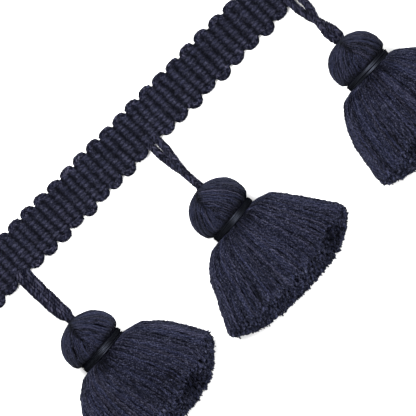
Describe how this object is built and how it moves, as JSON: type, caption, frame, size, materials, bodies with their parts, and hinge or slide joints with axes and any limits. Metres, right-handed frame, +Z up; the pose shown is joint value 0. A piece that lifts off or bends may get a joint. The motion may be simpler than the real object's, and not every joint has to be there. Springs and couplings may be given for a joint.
{
  "type": "tassel fringe trim",
  "caption": "Tassel fringe trim, laid flat: a ribbed woven heading with scalloped edges; ball-headed tassels with bound necks and flared yarn skirts hang from it on doubled cords.",
  "frame": {"origin": "on the flat back of the heading, halfway between its edges, on the line of the middle tassel", "axes": "+X along the heading, +Y towards the heading's upper edge with the tassels towards -Y, +Z up out of the face"},
  "size_m": [0.1969, 0.0883, 0.0214],
  "materials": {
    "heading_cord": "matt navy cotton cord, woven in ribs with its knitted texture showing",
    "hanger_cord": "matt navy knitted cotton cord, two legs twisted together",
    "head_strands": "fine navy strands drawn over a ball, softly lit along their length",
    "binding_thread": "smooth glossy near-black thread, closely wound",
    "skirt_yarn": "matt navy two-ply yarn with a slight fuzz and cut ends"
  },
  "bodies": {
    "root": {"heading": "heading_cord", "hanger_1": "hanger_cord", "head_1": "head_strands", "binding_1": "binding_thread", "skirt_1": "skirt_yarn", "hanger_2": "hanger_cord", "head_2": "head_strands", "binding_2": "binding_thread", "skirt_2": "skirt_yarn", "hanger_3": "hanger_cord", "head_3": "head_strands", "binding_3": "binding_thread", "skirt_3": "skirt_yarn"}
  },
  "joints": []
}
